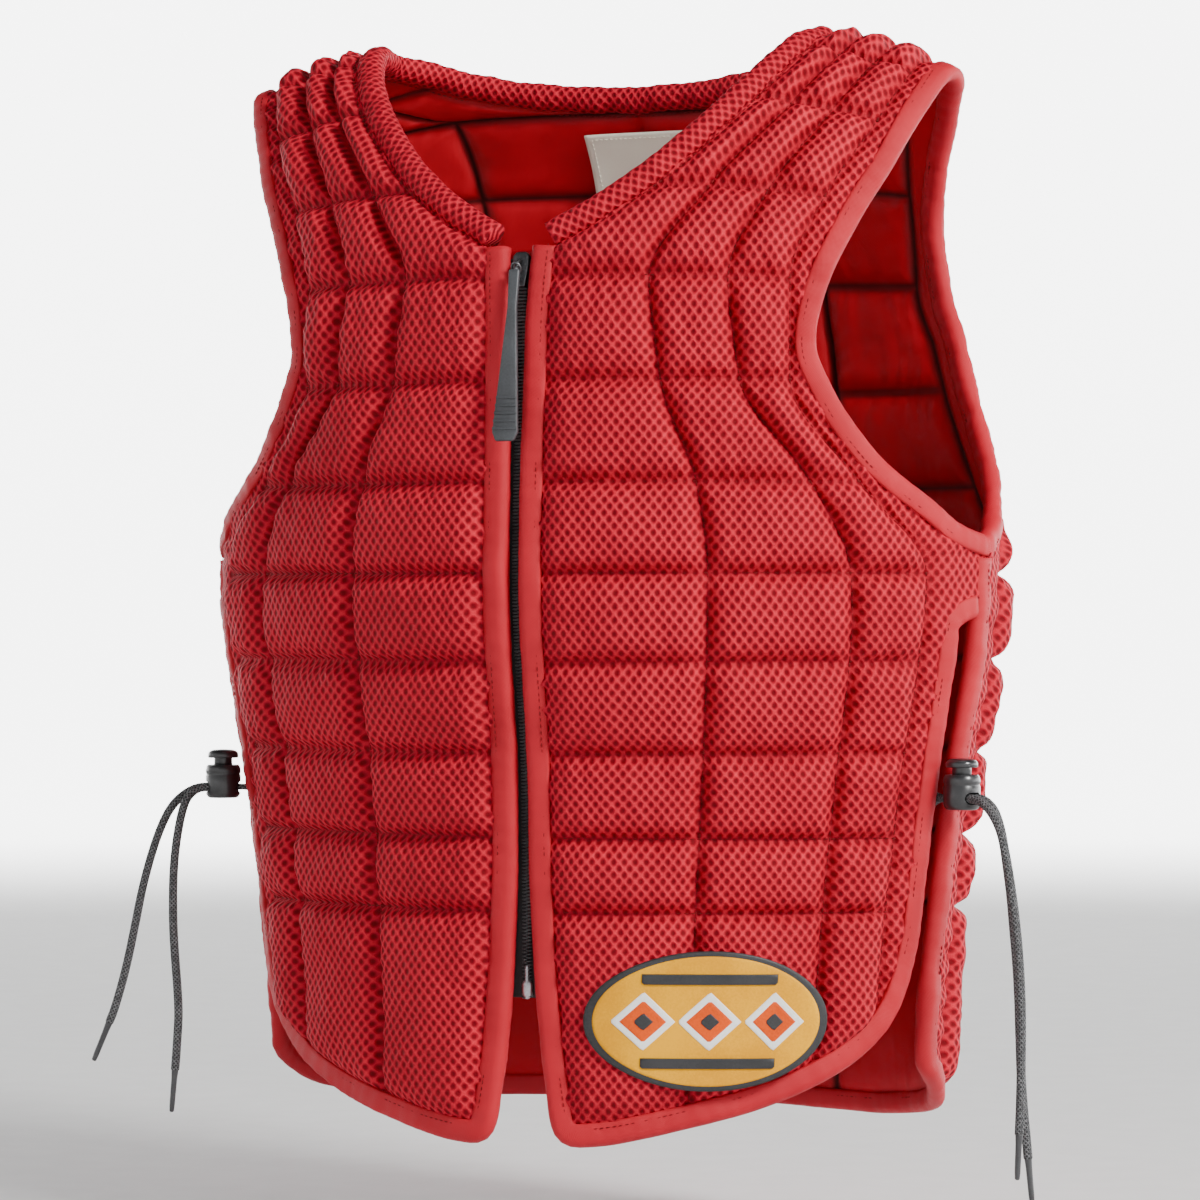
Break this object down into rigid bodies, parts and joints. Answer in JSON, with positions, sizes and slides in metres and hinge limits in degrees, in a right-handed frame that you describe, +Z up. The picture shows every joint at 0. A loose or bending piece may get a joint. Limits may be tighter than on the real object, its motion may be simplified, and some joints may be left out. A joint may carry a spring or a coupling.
{
  "type": "equestrian body protector",
  "caption": "Quilted, padded vest-shaped body protector with a front zip, bound edges and elastic side lacing with sprung cord locks, in its worn form.",
  "frame": {"origin": "midway between the two shoulder lines, on the lining, where the vest hangs on the wearer's shoulders", "axes": "+Z up, the front with the zip faces -Y, the wearer's left is +X"},
  "size_m": [0.5008, 0.2377, 0.5731],
  "materials": {
    "mesh_cloth": "open hexagonal air mesh over padding, red",
    "binding": "smooth woven binding, red",
    "lining": "smooth woven lining, dark red",
    "zip_cloth": "woven zip tape, black",
    "zip_coil": "coil teeth, black",
    "slider_metal": "dark worn metal",
    "pull_rubber": "dark grey, satin",
    "label": "cream woven label, blank",
    "badge_rubber": "moulded badge, yellow with black, orange and white",
    "lock_plastic": "moulded, black",
    "cord": "braided elastic cord, dark grey",
    "cord_tip": "shrunk tips, black"
  },
  "bodies": {
    "root": {"front_left": "mesh_cloth", "front_right": "mesh_cloth", "back_panel": "mesh_cloth", "neck_roll": "mesh_cloth", "armhole_binding_left": "binding", "armhole_binding_right": "binding", "front_binding_left": "binding", "front_binding_right": "binding", "back_binding": "binding", "zip_tape_left": "zip_cloth", "zip_tape_right": "zip_cloth", "zip_chain": "zip_coil", "zip_guard": "lining", "zip_slider": "slider_metal", "zip_pull": "pull_rubber", "neck_label": "label", "badge": "badge_rubber", "lacing_upper_left": "cord", "lacing_lower_left": "cord", "lock_barrel_left": "lock_plastic", "cord_left_a": "cord", "cord_tip_left_a": "cord_tip", "cord_left_b": "cord", "cord_tip_left_b": "cord_tip", "lacing_upper_right": "cord", "lacing_lower_right": "cord", "lock_barrel_right": "lock_plastic", "cord_right_a": "cord", "cord_tip_right_a": "cord_tip", "cord_right_b": "cord", "cord_tip_right_b": "cord_tip"},
    "button_left": {"lock_button_left": "lock_plastic"},
    "button_right": {"lock_button_right": "lock_plastic"}
  },
  "joints": [
    {"name": "press_left", "type": "slide", "parent": "root", "child": "button_left", "axis": [0, 0, -1], "range_m": [0, 0.003], "stiffness_N_per_m": 400},
    {"name": "press_right", "type": "slide", "parent": "root", "child": "button_right", "axis": [0, 0, -1], "range_m": [0, 0.003], "stiffness_N_per_m": 400}
  ]
}
